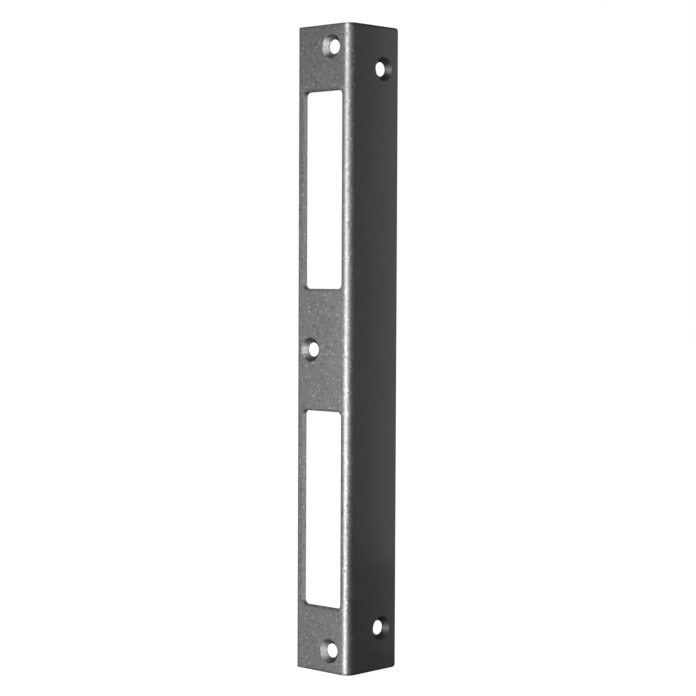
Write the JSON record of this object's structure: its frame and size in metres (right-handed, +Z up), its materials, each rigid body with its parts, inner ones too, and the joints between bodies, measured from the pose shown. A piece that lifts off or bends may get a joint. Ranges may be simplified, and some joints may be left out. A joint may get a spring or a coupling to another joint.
{
  "type": "door strike plate",
  "caption": "Angled steel door strike plate: a sheet folded lengthwise, with latch and bolt windows and countersunk screw holes in both flanges.",
  "frame": {"origin": "where the middle screw hole's axis meets the strike flange's back face, at mid-length", "axes": "+Z up along the plate; +Y out of the strike flange's back face, into the door frame; +X out of the side flange's show face"},
  "size_m": [0.025, 0.025, 0.23],
  "materials": {
    "paint": "dark silver grey hammer-texture paint with a fine metallic grain, semi-gloss"
  },
  "bodies": {
    "root": {"strike_plate": "paint"}
  },
  "joints": []
}
